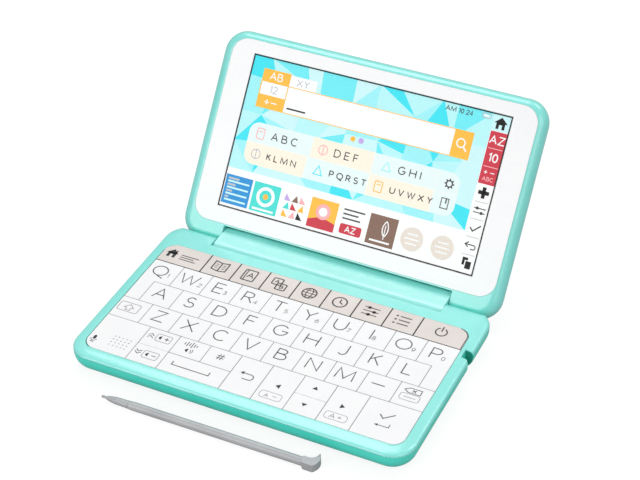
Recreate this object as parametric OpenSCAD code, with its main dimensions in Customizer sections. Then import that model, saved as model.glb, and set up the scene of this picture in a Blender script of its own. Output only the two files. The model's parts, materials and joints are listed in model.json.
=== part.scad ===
// Pocket electronic dictionary, open on a table with its stylus in front of it.
// X runs to the right, Y to the rear and Z up. Z is 0 at the table under the feet,
// X is 0 in the middle of the width, and Y is 0 midway between the foremost and rearmost points.

/* [Base] */
// Width of the base
body_w = 133; // [131:0.1:136]
// Front edge of the base, measured forward from the line behind the top letter row
base_front = 58.6; // [58:0.1:60]
// Rear end of the base, measured back from the same line
base_rear = 24.05; // [24:0.05:24.2]
// Thickness of the base without its feet
base_t = 9.2; // [9:0.1:9.4]
// Corner radius of the base in plan
base_corner_r = 9; // [8.5:0.5:10]
// Width of the crowned rail round the deck
crown_w = 4.3; // [4:0.1:4.6]
// Radius of the rail's crown
crown_r = 15; // [12:0.5:25]
// Radius of the edge between the rail's crown and the side
base_edge_r = 1.2; // [0.8:0.1:1.3]
// Radius of the edge round the underside
base_under_r = 6.5; // [6:0.1:7]
// Depth of the seam between the two base shells under the deck
base_seam = 1.4; // [1.4:0.1:1.8]
// Height of the moulded feet
foot_h = 0.4; // [0.3:0.1:0.6]

/* [Keyboard] */
// Width of one letter key's place
key_pitch = 12.42; // [12:0.01:12.6]
// Width of the slit between neighbouring keys
key_gap = 0.3; // [0.25:0.05:0.4]
// Thickness of a key cap
key_t = 1.5; // [1.4:0.1:1.6]
// Height of a key's face above the deck
key_proud = 0.15; // [0:0.05:0.3]
// Travel of a key when it is pressed
key_travel = 0.5; // [0.3:0.1:0.5]

/* [Lid] */
// Width of the lid
lid_w = 132.2; // [131:0.1:134]
// Length of the lid along its face
lid_len = 83; // [82.5:0.1:84]
// Thickness of the lid; its edges are half round
lid_t = 8.2; // [8.1:0.1:8.3]
// Corner radius of the lid in plan
lid_corner_r = 9; // [8.5:0.5:10.5]
// Depth of the seam between the lid's front and back shells
lid_seam = 2; // [1.8:0.1:2.2]
// Angle between the keyboard and the screen as the object stands
open_angle = 126.25; // [100:0.25:130]
// Width of the screen glass
screen_w = 105.6; // [104:0.1:106]
// Height of the screen glass
screen_h = 60.0; // [59:0.1:61]
// Distance of the glass from the middle of the lid, to the right
screen_x = 0.6; // [-1:0.1:1]

/* [Hinge] */
// Distance between the two hinge axes
hinge_span = 8.25; // [8.25:0.05:8.4]
// Depth of the base axis below the deck
base_axis_depth = 3.9; // [3.8:0.1:4.0]
// Depth of the lid axis behind the lid's face
lid_axis_depth = 3.9; // [3.8:0.1:4.0]
// Distance of the base axis from the rear end of the base
base_axis_inset = 4.15; // [4.1:0.05:4.2]
// Radius of the hinge bar round each axis
bar_r = 3.45; // [3.3:0.05:3.45]
// Width of the hinge bar
bar_w = 94.4; // [90:0.1:96]
// Radius of the hinge pins
pin_r = 1.5; // [1.3:0.1:1.6]

/* [Stylus] */
// Length of the stylus from nib to the end of its head
stylus_len = 83.9; // [82:0.1:85]
// Radius of the stylus shaft
stylus_r = 1.6; // [1.5:0.1:1.6]
// Angle of the stylus to the front edge as it lies on the table
stylus_turn = 0.55; // [0:0.05:1]
// Height of the silo's axis above the underside of the base
silo_height = 3.3; // [3.2:0.1:3.4]

/* [Hidden] */
FN = 64;
KEYS_TOP = ["key_home", "key_f1", "key_f2", "key_f3", "key_f4", "key_f5", "key_f6", "key_f7", "key_power"];
KEYS_Q = ["key_q", "key_w", "key_e", "key_r", "key_t", "key_y", "key_u", "key_i", "key_o", "key_p"];
KEYS_A = ["key_a", "key_s", "key_d", "key_f", "key_g", "key_h", "key_j", "key_k", "key_l"];
KEYS_Z = ["key_shift", "key_z", "key_x", "key_c", "key_v", "key_b", "key_n", "key_m", "key_dash",
          "key_delete"];
KEYS_LAST = ["key_page", "key_voice", "key_symbol", "key_space", "key_back", "key_left",
             "key_updown", "key_right", "key_enter"];

// Colours
MINT = [0.45, 0.92, 0.86];
MINT_DARK = [0.20, 0.80, 0.72];
KEY_WHITE = [0.98, 0.98, 0.98];
KEY_BEIGE = [0.90, 0.87, 0.85];
INK = [0.10, 0.10, 0.11];
METAL = [0.66, 0.67, 0.68];

// Rows of the keyboard, from the rear line of the function keys to the front line, in Y
row_top = 11.06;
row_y = [row_top, 0, -11.97, -23.70, -34.93, -53.57];
last_mid = -44.2;
keys_w = 10 * key_pitch;
keys_r = base_corner_r - (body_w - keys_w) / 2;

// Hinge: A is the axis in the base, B the axis in the lid, both as [y, z] below the deck at z = 0
axis_a = [base_rear - base_axis_inset, -base_axis_depth];
axis_b = [axis_a[0] + hinge_span, axis_a[1]];
lid_lean = 180 - open_angle;
lid_low = 3.9;
lid_r = lid_t / 2;
bar_clear = 0.2;
bar_side_clear = 0.3;
lid_lip_y = 4.0;
pin_grip = 6;
pin_reach = 8;
pin_run = 0.05;

// Lid features, as distances along the face up from axis B
bezel_w = 124.8;
bezel_low = 4.6;
bezel_high = 76.3;
bezel_r = 6.5;
screen_low = 11.1;
fit_gap = 0.05;
window_gap = 0.1;
lid_wall = 1.4;

// Base inside
cavity_w = 122;
cavity_front = -52.5;
cavity_rear = 13.8;
floor_t = 1.3;
key_spare = 0.15;
key_well = key_t - key_proud + key_travel + key_spare;
notch_x = 63.4;
notch_y = [-3.3, 1.2];
notch_ramp = 1.2;
silo_y = -1.05;
silo_z = silo_height - base_t;
silo_r = stylus_r + 0.1;
silo_wall = 0.6;
silo_len = stylus_len - (body_w / 2 - notch_x) + 1;
mat_z = [-2.9, -2.1];
board_z = [-3.55, -2.9];
inner_w = 120;

// Stylus on the table
tip_x = -46.52;
tip_y = -66.51;
tip_taper = 13;
nib_r = 0.5;
nib_len = 2.0;
groove_x = 10.7;
groove_w = 0.5;
head_r = base_t / 2;
head_shift = silo_height - head_r;
head_x = stylus_len - head_r;
head_back = 5.9;
head_rise = 4.9;
heel_r = 1.6;
heel_drop = 2.0;
scoop_r = 3;

// The whole object stands with its feet on z = 0 and its depth centred on y = 0
deck_z = base_t + foot_h;
lid_top_axis = [axis_b[0] + (lid_len - lid_low - lid_r) * cos(lid_lean)
                - (lid_axis_depth - lid_r) * sin(lid_lean),
                axis_b[1] + (lid_len - lid_low - lid_r) * sin(lid_lean)];
rear_most = lid_top_axis[0] + lid_r;
front_most = tip_y + tip_taper * sin(stylus_turn) - stylus_r * cos(stylus_turn);
shift_y = -(rear_most + front_most) / 2;

// Moves a child from deck coordinates to the object's frame.
module set_down() {
    translate([0, shift_y, deck_z]) children();
}

// Moves a child from lid coordinates (origin on axis B, Y up the face, Z out of the face).
module on_lid() {
    set_down() translate([0, axis_b[0], axis_b[1]]) rotate([lid_lean, 0, 0]) children();
}

// Section of a slab near its edge, from 0 out to reach. The face curves down with radius top_r over
// the last top_w and turns into the side with radius edge_r; the underside has radius under_r.
module edge_section(reach, t, top_w, top_r, under_r, edge_r = 0) {
    waist = under_r - t;
    edge_z = sqrt(pow(top_r - edge_r, 2) - pow(top_w - edge_r, 2)) - top_r;
    crown_end = edge_r > 0 ? reach - top_w + (top_w - edge_r) * top_r / (top_r - edge_r) : reach;
    translate([0, -t]) square([reach - under_r, t + waist]);
    intersection() {
        translate([0, -t]) square([reach, under_r]);
        translate([reach - under_r, waist]) circle(under_r, $fn = FN);
    }
    translate([0, waist]) square([reach - top_w, -waist]);
    intersection() {
        translate([0, waist]) square([crown_end, -waist]);
        translate([reach - top_w, -top_r]) circle(top_r, $fn = 4 * FN);
    }
    if (edge_r > 0) {
        translate([reach - edge_r, edge_z]) circle(edge_r, $fn = FN);
        translate([0, waist]) square([reach, edge_z - waist]);
    }
}

// Slab with rounded edges and corners of radius r in plan, its face at z = 0.
module slab(w, y0, y1, t, r, top_w, top_r, under_r, edge_r = 0) {
    run_x = w - 2 * r;
    run_y = y1 - y0 - 2 * r;
    translate([-run_x / 2, y0 + r, -t]) cube([run_x, run_y, t]);
    for (side = [0, 1])
        mirror([side, 0, 0]) {
            translate([run_x / 2, y1 - r, 0]) rotate([90, 0, 0])
                linear_extrude(run_y) edge_section(r, t, top_w, top_r, under_r, edge_r);
            translate([run_x / 2, y1 - r, 0])
                rotate_extrude(angle = 90, $fn = FN) edge_section(r, t, top_w, top_r, under_r, edge_r);
            translate([run_x / 2, y0 + r, 0]) rotate([0, 0, -90])
                rotate_extrude(angle = 90, $fn = FN) edge_section(r, t, top_w, top_r, under_r, edge_r);
        }
    translate([-run_x / 2, y1 - r, 0]) rotate([90, 0, 90])
        linear_extrude(run_x) edge_section(r, t, top_w, top_r, under_r, edge_r);
    translate([run_x / 2, y0 + r, 0]) rotate([90, 0, -90])
        linear_extrude(run_x) edge_section(r, t, top_w, top_r, under_r, edge_r);
}

// Rectangle with rounded corners, centred in X, between y0 and y1.
module round_rect(w, y0, y1, r) {
    translate([-w / 2 + r, y0]) square([w - 2 * r, y1 - y0]);
    translate([-w / 2, y0 + r]) square([w, y1 - y0 - 2 * r]);
    for (x = [-w / 2 + r, w / 2 - r], y = [y0 + r, y1 - r])
        translate([x, y]) circle(r, $fn = FN);
}

// Round rod along X from x0 to x1 at [y, z].
module rod(x0, x1, at, r) {
    translate([x0, at[0], at[1]]) rotate([0, 90, 0]) cylinder(h = x1 - x0, r = r, $fn = FN);
}

// Room that the hinge bar needs in the base as it turns from lying level to standing up.
module bar_room_in_base() {
    half = bar_w / 2 + bar_side_clear;
    room_r = bar_r + bar_clear;
    sink = 0.3;
    rod(-half, half, axis_a, room_r);
    translate([-half, axis_a[0] - room_r, axis_a[1]]) cube([2 * half, base_corner_r, base_t]);
    translate([-half, axis_a[0], axis_a[1] - room_r - sink]) cube([2 * half, base_corner_r, base_t]);
}

// Notch in the right rail, where the head of the stored stylus sits.
module stylus_notch() {
    translate([0, 0, -base_t - 1]) linear_extrude(base_t + 2)
        polygon([[notch_x, notch_y[1]], [body_w / 2 + 1, notch_y[1]],
                 [body_w / 2 + 1, notch_y[0] - 2 * notch_ramp], [body_w / 2 - 1, notch_y[0]],
                 [notch_x, notch_y[0]]]);
}

module base_block() {
    difference() {
        intersection() {
            slab(body_w, -base_front, base_rear, base_t, base_corner_r, crown_w, crown_r, base_under_r,
                 base_edge_r);
            translate([-body_w, -2 * base_front, 0]) rotate([90, 0, 90]) linear_extrude(2 * body_w)
                edge_section(2 * base_front + base_rear, base_t, base_t / 2, base_t / 2, base_t / 2);
        }
        bar_room_in_base();
        stylus_notch();
    }
}

module base_lower_case() {
    color(MINT_DARK) set_down() difference() {
        union() {
            difference() {
                base_block();
                translate([-body_w, -2 * base_front, -base_seam])
                    cube([2 * body_w, 4 * base_front, base_t]);
                difference() {
                    translate([0, 0, floor_t - base_t]) linear_extrude(base_t)
                        round_rect(cavity_w, cavity_front, cavity_rear, 5);
                    rod(notch_x - silo_len - 1, notch_x, [silo_y, silo_z], silo_r + silo_wall);
                    board_posts();
                }
            }
            feet();
        }
        translate([0, 0, -key_well]) linear_extrude(base_t)
            round_rect(keys_w, row_y[5], row_top, keys_r);
        rod(notch_x - silo_len, body_w, [silo_y, silo_z], silo_r);
        for (side = [-1, 1])
            rod(side * bar_w / 2 - pin_reach - 1, side * bar_w / 2 + pin_reach + 1, axis_a,
                pin_r + pin_run);
    }
}

// Posts on the floor of the lower case, which carry the main board.
module board_posts() {
    for (x = [-54, 54], y = [-48, 10])
        translate([x, y, -base_t]) cylinder(h = base_t + board_z[0], r = 2, $fn = FN);
}

// Four low pads under the base.
module feet() {
    for (x = [-52, 52], y = [-46, 15.5])
        translate([x, y, -base_t - foot_h]) cylinder(h = foot_h + floor_t, r = 3.5, $fn = FN);
}

module base_upper_case() {
    color(MINT) set_down() difference() {
        intersection() {
            base_block();
            translate([-body_w, -2 * base_front, -base_seam])
                cube([2 * body_w, 4 * base_front, 2 * base_seam]);
        }
        translate([0, 0, -base_t]) linear_extrude(2 * base_t)
            round_rect(keys_w, row_y[5], row_top, keys_r);
    }
}

module key_mat() {
    color(INK) set_down() translate([0, 0, mat_z[0]]) linear_extrude(mat_z[1] - mat_z[0])
        round_rect(inner_w, row_y[5] + 1.5, row_top - 0.5, 4);
}

module main_board() {
    color("darkgreen") set_down() translate([0, 0, board_z[0]]) linear_extrude(board_z[1] - board_z[0])
        round_rect(inner_w, row_y[5] + 1.5, row_top - 0.5, 4);
}

module battery() {
    color("silver") set_down() translate([-30, -44, floor_t - base_t]) cube([60, 34, 3.9]);
}

module hinge_bar() {
    color(MINT) set_down() difference() {
        union() {
            rod(-bar_w / 2, bar_w / 2, axis_a, bar_r);
            rod(-bar_w / 2, bar_w / 2, axis_b, bar_r);
            translate([-bar_w / 2, axis_a[0], axis_a[1] - bar_r]) cube([bar_w, hinge_span, 2 * bar_r]);
        }
        for (at = [axis_a, axis_b], side = [0, 1])
            mirror([side, 0, 0]) rod(bar_w / 2 - pin_grip, bar_w, at, pin_r);
    }
}

module hinge_pins() {
    color(METAL) set_down()
        for (at = [axis_a, axis_b], side = [0, 1])
            mirror([side, 0, 0]) rod(bar_w / 2 - pin_grip, bar_w / 2 + pin_reach, at, pin_r);
}

// The lid as a block in lid coordinates, with the room for the hinge bar cut out.
module lid_block() {
    half = bar_w / 2 + bar_side_clear;
    room_r = bar_r + bar_clear;
    difference() {
        translate([0, 0, lid_axis_depth])
            slab(lid_w, -lid_low, lid_len - lid_low, lid_t, lid_corner_r, lid_r, lid_r, lid_r);
        rod(-half, half, [0, 0], room_r);
        translate([-half, -2 * lid_low, -lid_t]) cube([2 * half, 2 * lid_low, 2 * lid_t]);
        translate([-half, -lid_low, 0]) cube([2 * half, lid_low + lid_lip_y, lid_t]);
    }
}

module lid_back_cover() {
    back = lid_axis_depth - lid_t;
    color(MINT) on_lid() difference() {
        lid_block();
        translate([-body_w, -lid_len, lid_axis_depth - lid_seam])
            cube([2 * body_w, 3 * lid_len, lid_t]);
        translate([0, 0, back + lid_wall]) linear_extrude(lid_t)
            round_rect(cavity_w, 7, lid_len - lid_low - 5, 5);
        for (side = [-1, 1])
            rod(side * bar_w / 2 - pin_reach - 1, side * bar_w / 2 + pin_reach + 1, [0, 0],
                pin_r + pin_run);
    }
}

module lid_front_frame() {
    color(MINT) on_lid() difference() {
        intersection() {
            lid_block();
            translate([-body_w, -lid_len, lid_axis_depth - lid_seam])
                cube([2 * body_w, 3 * lid_len, lid_t]);
        }
        translate([0, 0, -lid_t]) linear_extrude(3 * lid_t)
            translate([screen_x, 0]) round_rect(bezel_w, bezel_low, bezel_high, bezel_r);
    }
}

// Rectangle of the glass with a margin all round.
module screen_rect(margin) {
    translate([screen_x - screen_w / 2 - margin, screen_low - margin])
        square([screen_w + 2 * margin, screen_h + 2 * margin]);
}

module lid_bezel() {
    color(KEY_WHITE) on_lid() translate([0, 0, lid_axis_depth - lid_seam]) difference() {
        linear_extrude(lid_seam)
            translate([screen_x, 0])
                round_rect(bezel_w - 2 * fit_gap, bezel_low + fit_gap, bezel_high - fit_gap, bezel_r);
        translate([0, 0, -lid_seam]) linear_extrude(3 * lid_seam) screen_rect(window_gap);
    }
}

module display_panel() {
    glass_t = 3.6;
    recess = 0.15;
    color("lightcyan") on_lid() translate([0, 0, lid_axis_depth - recess - glass_t])
        linear_extrude(glass_t) screen_rect(0);
}

// Profile of the stylus along its shaft: nib, blunt cone, groove and shaft.
module stylus_profile(neck) {
    groove_r = stylus_r - 0.35;
    groove_end = groove_x + groove_w;
    polygon([[0, 0], [nib_r - 0.1, 0], [nib_r, 0.2], [nib_r, nib_len], [nib_r + 0.3, nib_len + 0.3],
             [stylus_r - 0.3, nib_len + 3.5], [stylus_r - 0.15, groove_x], [groove_r, groove_x + 0.1],
             [groove_r, groove_end - 0.1], [stylus_r - 0.1, groove_end], [stylus_r, tip_taper],
             [stylus_r, neck + 1], [0, neck + 1]]);
}

// Outline of the head, round at the heel, seen from above.
module stylus_head(neck) {
    intersection() {
        translate([head_x, -head_shift]) circle(head_r, $fn = FN);
        union() {
            translate([neck + heel_r, heel_r - heel_drop]) circle(heel_r, $fn = FN);
            translate([neck + heel_r, -heel_drop]) square([head_back, heel_drop + head_rise]);
            translate([neck, heel_r - heel_drop]) square([head_back, heel_drop - heel_r + head_rise]);
        }
    }
}

// Stylus in its own frame: nib at the origin, shaft along X, fin of the head towards +Y.
module stylus_shape() {
    neck = stylus_len - head_back;
    scoop = [head_x + 0.35, 4.25];
    rotate([0, 90, 0]) rotate_extrude($fn = FN) stylus_profile(neck);
    translate([0, 0, -stylus_r]) linear_extrude(2 * stylus_r) difference() {
        stylus_head(neck);
        translate(scoop) circle(scoop_r, $fn = FN);
        translate([neck - 1, scoop[1] - scoop_r]) square([scoop[0] - neck + 1, 2 * scoop_r]);
    }
}

module stylus() {
    color(METAL) set_down() translate([tip_x, tip_y, stylus_r - deck_z]) rotate([0, 0, stylus_turn])
        stylus_shape();
}

// Floor plan of a key from unit x0 to x1 and from line y0 (front) to y1 (rear).
module key_plan(x0, x1, y0, y1) {
    translate([-keys_w / 2 + x0 * key_pitch + key_gap / 2, y0 + key_gap / 2])
        square([(x1 - x0) * key_pitch - key_gap, y1 - y0 - key_gap]);
}

// Raises a key plan, trimmed to the rounded opening of the deck, to a cap.
module cap() {
    set_down() translate([0, 0, key_proud - key_t]) linear_extrude(key_t) intersection() {
        children();
        round_rect(keys_w - key_gap, row_y[5] + key_gap / 2, row_top - key_gap / 2, keys_r);
    }
}

// One rocker: two faces with a groove between them, on one plate that rolls on a round rib.
module rocker(x0, x1) {
    groove = 0.4;
    rib_r = 0.7;
    rib_inset = 2;
    set_down() rod(x0 * key_pitch - keys_w / 2 + rib_inset, x1 * key_pitch - keys_w / 2 - rib_inset,
                   [last_mid, key_proud - key_t], rib_r);
    difference() {
        cap() key_plan(x0, x1, row_y[5], row_y[4]);
        set_down() translate([-keys_w / 2 + x0 * key_pitch, last_mid - key_gap / 2, key_proud - groove])
            cube([(x1 - x0) * key_pitch, key_gap, 1]);
    }
}

module function_key(i) {
    x0 = i == 0 ? 0 : i + 0.5;
    x1 = i == 8 ? 10 : i + 1.5;
    color(KEY_BEIGE) cap() key_plan(x0, x1, row_y[1], row_y[0]);
}

// Top letter row; its two end keys reach down beside the row in front.
module top_letter_key(i) {
    color(KEY_WHITE) cap() {
        union() {
            key_plan(i, i + 1, row_y[2], row_y[1]);
            if (i == 0)
                key_plan(0, 0.5, row_y[3], row_y[1]);
            if (i == 9)
                key_plan(9.5, 10, row_y[3], row_y[1]);
        }
    }
}

module home_letter_key(i) {
    color(KEY_WHITE) cap() key_plan(i + 0.5, i + 1.5, row_y[3], row_y[2]);
}

module low_letter_key(i) {
    color(KEY_WHITE) cap() key_plan(i, i + 1, row_y[4], row_y[3]);
}

// Keys of the front row, by their place in KEYS_LAST.
module last_row_key(i) {
    color(KEY_WHITE) {
        if (i == 0)
            rocker(1.45, 2.45);
        if (i == 1 || i == 2)
            cap() key_plan(i + 1.45, i + 2.45, last_mid, row_y[4]);
        if (i == 3)
            cap() key_plan(2.45, 4.45, row_y[5], last_mid);
        if (i == 4 || i == 5 || i == 7)
            cap() key_plan(i + 0.45, i + 1.45, row_y[5], row_y[4]);
        if (i == 6)
            rocker(6.45, 7.45);
        if (i == 8)
            cap() key_plan(8.45, 10, row_y[5], row_y[4]);
    }
}

module speaker_panel() {
    hole_r = 0.35;
    color(KEY_WHITE) difference() {
        cap() key_plan(0, 1.45, row_y[5], row_y[4]);
        set_down() for (i = [0:4], j = [0:3])
            translate([-53.2 + 1.6 * i, -49.4 + 1.6 * j, -base_t])
                cylinder(h = 2 * base_t, r = hole_r, $fn = 16);
    }
}

base_lower_case();
base_upper_case();
speaker_panel();
key_mat();
main_board();
battery();
hinge_bar();
hinge_pins();
lid_back_cover();
lid_front_frame();
lid_bezel();
display_panel();
stylus();
for (i = [0:8])
    function_key(i);
for (i = [0:9])
    top_letter_key(i);
for (i = [0:8])
    home_letter_key(i);
for (i = [0:9])
    low_letter_key(i);
for (i = [0:8])
    last_row_key(i);
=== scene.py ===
"""Pocket electronic dictionary: looks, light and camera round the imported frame."""
import json
import math
import random

import bmesh
import bpy
from mathutils import Matrix, Vector


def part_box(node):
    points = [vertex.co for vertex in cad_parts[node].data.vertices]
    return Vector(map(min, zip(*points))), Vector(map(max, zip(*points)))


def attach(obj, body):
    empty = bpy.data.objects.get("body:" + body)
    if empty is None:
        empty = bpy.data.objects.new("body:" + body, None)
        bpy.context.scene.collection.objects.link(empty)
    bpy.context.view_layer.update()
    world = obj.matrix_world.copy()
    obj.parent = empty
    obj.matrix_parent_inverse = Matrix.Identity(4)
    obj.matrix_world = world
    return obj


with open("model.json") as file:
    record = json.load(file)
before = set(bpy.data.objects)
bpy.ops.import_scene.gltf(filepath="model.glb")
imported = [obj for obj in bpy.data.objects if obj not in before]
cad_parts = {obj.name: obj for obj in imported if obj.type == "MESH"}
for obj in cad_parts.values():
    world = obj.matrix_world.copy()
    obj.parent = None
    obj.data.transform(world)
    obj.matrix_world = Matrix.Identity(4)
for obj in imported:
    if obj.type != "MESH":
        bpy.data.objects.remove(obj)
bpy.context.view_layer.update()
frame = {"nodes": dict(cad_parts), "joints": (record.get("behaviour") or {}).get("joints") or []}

MM = 0.001
NODES = frame["nodes"]

# ------------------------------ places

# Deck coordinates, in mm: X from the middle, Y back from the line behind the top letter row, Z up.
HALF_SLIT = 0.15
DECK_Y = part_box("key_w")[1][1] + HALF_SLIT * MM
DECK_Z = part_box("base_upper_case")[1][2]
PITCH = 12.42
LEFT = -5 * PITCH
ROWS = [11.06, 0, -11.97, -23.70, -34.93, -53.57]
LAST_MID = -44.2
KEY_FACE = 0.15

# Lid coordinates, in mm: X from the middle, Y up the face from the lid's axis, Z out of the face.
LID_LEAN = math.radians(53.75)
LID_AXIS = Vector(next(j["pos_m"] for j in frame["joints"] if j["name"] == "lid_swing"))
LID_UP = Vector((0, math.cos(LID_LEAN), math.sin(LID_LEAN)))
LID_OUT = Vector((0, -math.sin(LID_LEAN), math.cos(LID_LEAN)))
GLASS = 3.75


def on_deck(x, y, z=0.0):
    """A point in deck coordinates, in the frame's metres."""
    return Vector((x * MM, DECK_Y + y * MM, DECK_Z + z * MM))


def on_lid(x, y, z=0.0):
    """A point in lid coordinates, in the frame's metres."""
    return LID_AXIS + Vector((x * MM, 0, 0)) + LID_UP * (y * MM) + LID_OUT * (z * MM)


# ------------------------------ materials


def srgb(r, g, b):
    """Linear colour from display values between 0 and 255."""
    return tuple((c / 255) ** 2.2 for c in (r, g, b)) + (1.0,)


class Paint:
    """A node material being built: one shader, and helpers for its inputs."""

    def __init__(self, name):
        self.mat = bpy.data.materials.new(name)
        self.mat.use_nodes = True
        self.tree = self.mat.node_tree
        self.shader = self.tree.nodes["Principled BSDF"]
        self.coord = self.tree.nodes.new("ShaderNodeTexCoord")

    def set(self, **values):
        for key, value in values.items():
            self.shader.inputs[key.replace("_", " ")].default_value = value

    def node(self, kind, **values):
        made = self.tree.nodes.new(kind)
        for key, value in values.items():
            made.inputs[key].default_value = value
        return made

    def link(self, out, into):
        self.tree.links.new(out, into)

    def noise(self, scale, detail=3.0):
        """Soft noise, with the scale in features per metre."""
        made = self.node("ShaderNodeTexNoise", Scale=scale, Detail=detail)
        self.link(self.coord.outputs["Object"], made.inputs["Vector"])
        return made.outputs["Fac"]

    def span(self, fac, low, high):
        """A node that maps fac between low and high onto 0 to 1."""
        made = self.node("ShaderNodeMapRange")
        self.link(fac, made.inputs["Value"])
        made.inputs["From Min"].default_value = low
        made.inputs["From Max"].default_value = high
        return made

    def ramp(self, fac, low, high, stops):
        """Maps fac between low and high onto a list of colours."""
        span = self.span(fac, low, high)
        made = self.tree.nodes.new("ShaderNodeValToRGB")
        while len(made.color_ramp.elements) < len(stops):
            made.color_ramp.elements.new(0.5)
        for i, colour in enumerate(stops):
            made.color_ramp.elements[i].position = i / (len(stops) - 1)
            made.color_ramp.elements[i].color = colour
        self.link(span.outputs["Result"], made.inputs["Fac"])
        return made.outputs["Color"]

    def multiply(self, a, b):
        """The product of two colours."""
        made = self.tree.nodes.new("ShaderNodeMix")
        made.data_type = "RGBA"
        made.blend_type = "MULTIPLY"
        factor, first, second = [s for s in made.inputs if s.enabled]
        factor.default_value = 1.0
        self.link(a, first)
        self.link(b, second)
        return next(s for s in made.outputs if s.enabled)

    def colour(self, out):
        self.link(out, self.shader.inputs["Base Color"])

    def roughness(self, low, high, scale):
        """Roughness that varies softly between two values."""
        span = self.span(self.noise(scale), 0.3, 0.7)
        span.inputs["To Min"].default_value = low
        span.inputs["To Max"].default_value = high
        self.link(span.outputs["Result"], self.shader.inputs["Roughness"])

    def bump(self, height, strength):
        """Fine grain in the surface, GRAIN_DEPTH metres deep."""
        made = self.node("ShaderNodeBump", Strength=strength, Distance=GRAIN_DEPTH)
        self.link(height, made.inputs["Height"])
        self.link(made.outputs["Normal"], self.shader.inputs["Normal"])


# Scales of the textures, in features per metre, and the depth of the grain in metres.
PEARL_CLOUDS, PLASTIC_CLOUDS, INK_CLOUDS = 60, 90, 700
FLECKS, PEARL_GRAIN, FINE_GRAIN, PIXELS = 5200, 3500, 2600, 2600
GRAIN_DEPTH = 0.00002
INK_SPREAD, PIXEL_SPREAD = 0.05, 0.04


def pearl_plastic(name, light, deep, coat=0.8):
    """Moulded plastic in two close tones with a fine pearl fleck and a broad sheen."""
    p = Paint(name)
    cloud = p.ramp(p.noise(PEARL_CLOUDS, 2), 0.35, 0.65, [srgb(*light), srgb(*deep)])
    fleck = p.ramp(p.noise(FLECKS, 2), 0.55, 0.8, [(1, 1, 1, 1), (1.2, 1.18, 1.18, 1)])
    p.colour(p.multiply(cloud, fleck))
    p.set(Coat_Weight=coat, Coat_Roughness=0.14, IOR=1.5, Specular_IOR_Level=0.9)
    p.roughness(0.36, 0.46, 900)
    p.bump(p.noise(PEARL_GRAIN, 2), 0.04)
    return p.mat


def fine_plastic(name, light, deep, rough, grain=FINE_GRAIN, coat=0.15):
    """Moulded plastic with a very fine eroded grain."""
    p = Paint(name)
    p.colour(p.ramp(p.noise(PLASTIC_CLOUDS, 3), 0.3, 0.7, [srgb(*light), srgb(*deep)]))
    p.set(Coat_Weight=coat, Coat_Roughness=0.2)
    p.roughness(rough - 0.05, rough + 0.05, 1200)
    p.bump(p.noise(grain, 3), 0.03)
    return p.mat


def ink(name, rgb, rough=0.45):
    """Printed ink or a shadow in a gap, very slightly uneven in tone."""
    p = Paint(name)
    low = tuple(c * (1 - INK_SPREAD) for c in rgb)
    p.colour(p.ramp(p.noise(INK_CLOUDS, 2), 0.3, 0.7, [srgb(*rgb), srgb(*low)]))
    p.roughness(rough - 0.04, rough + 0.04, 2000)
    return p.mat


MINT = pearl_plastic("mint_shell", (133, 232, 223), (125, 229, 219))
# The hinge bar gets a paler copy of the mint: painted highlight that lifts it out of the lid's shade.
MINT_LIT = pearl_plastic("mint_bar_painted_highlight", (162, 243, 236), (154, 240, 232))
# The lower case gets a darker copy of the mint: painted shade for the sides below the crown.
MINT_SHADED = pearl_plastic("mint_lower_painted_shade", (68, 234, 213), (61, 230, 209), 0.5)
WHITE_KEY = fine_plastic("white_key", (245, 245, 246), (242, 242, 244), 0.5, FINE_GRAIN, 0.05)
BEIGE_KEY = fine_plastic("beige_key", (226, 218, 213), (218, 209, 204), 0.45)
BEZEL = fine_plastic("white_bezel", (252, 252, 253), (249, 250, 251), 0.3, 3000, 0.3)
RUBBER = fine_plastic("mat_rubber", (60, 60, 64), (48, 48, 52), 0.7)
STEEL = fine_plastic("pin_steel", (150, 152, 156), (135, 137, 140), 0.3)
GREY = fine_plastic("stylus_grey", (184, 186, 188), (170, 172, 175), 0.36, FINE_GRAIN, 0.3)

LETTER = ink("letter_ink", (80, 78, 82))
PALE = ink("pale_ink", (158, 155, 162))
DARK = ink("dark_ink", (50, 45, 46))
BLACK = ink("black_ink_and_painted_shade", (24, 22, 24))
SLIT = ink("slit_grey", (146, 147, 149), 0.7)
SLIT_DARK = ink("slit_black", (40, 37, 38), 0.7)
SEAM = ink("seam_shadow", (22, 118, 104), 0.7)
RIM = ink("rim_teal", (46, 122, 113), 0.6)
RIM_PALE = ink("rim_pale", (120, 178, 172), 0.6)
NOTCH = fine_plastic("notch_shade", (44, 158, 140), (34, 146, 128), 0.5)
MESH = ink("speaker_mesh", (226, 226, 229), 0.7)

PAINT_OF = {
    "base_upper_case": MINT, "base_lower_case": MINT_SHADED, "hinge_bar": MINT_LIT, "lid_back_cover": MINT,
    "lid_front_frame": MINT, "lid_bezel": BEZEL, "speaker_panel": WHITE_KEY, "key_mat": RUBBER,
    "main_board": RUBBER, "battery": STEEL, "hinge_pins": STEEL, "display_panel": BEZEL, "stylus": GREY,
}
BEIGE_KEYS = ["key_home", "key_power"] + ["key_f%d" % i for i in range(1, 8)]

# Width of the softened edges in mm. The panel with the small holes keeps its own.
SOFT_EDGE = {"base_upper_case": 0.25, "base_lower_case": 0.25, "lid_front_frame": 0.3,
             "lid_back_cover": 0.2, "hinge_bar": 0.3, "lid_bezel": 0.08, "stylus": 0.25,
             "speaker_panel": 0}
OTHER_EDGE = 0.07
EDGE_SEGMENTS = 2
EDGE_ANGLE = math.radians(35)
SMOOTH_ANGLE = math.radians(28)
WELD = 0.001


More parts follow.
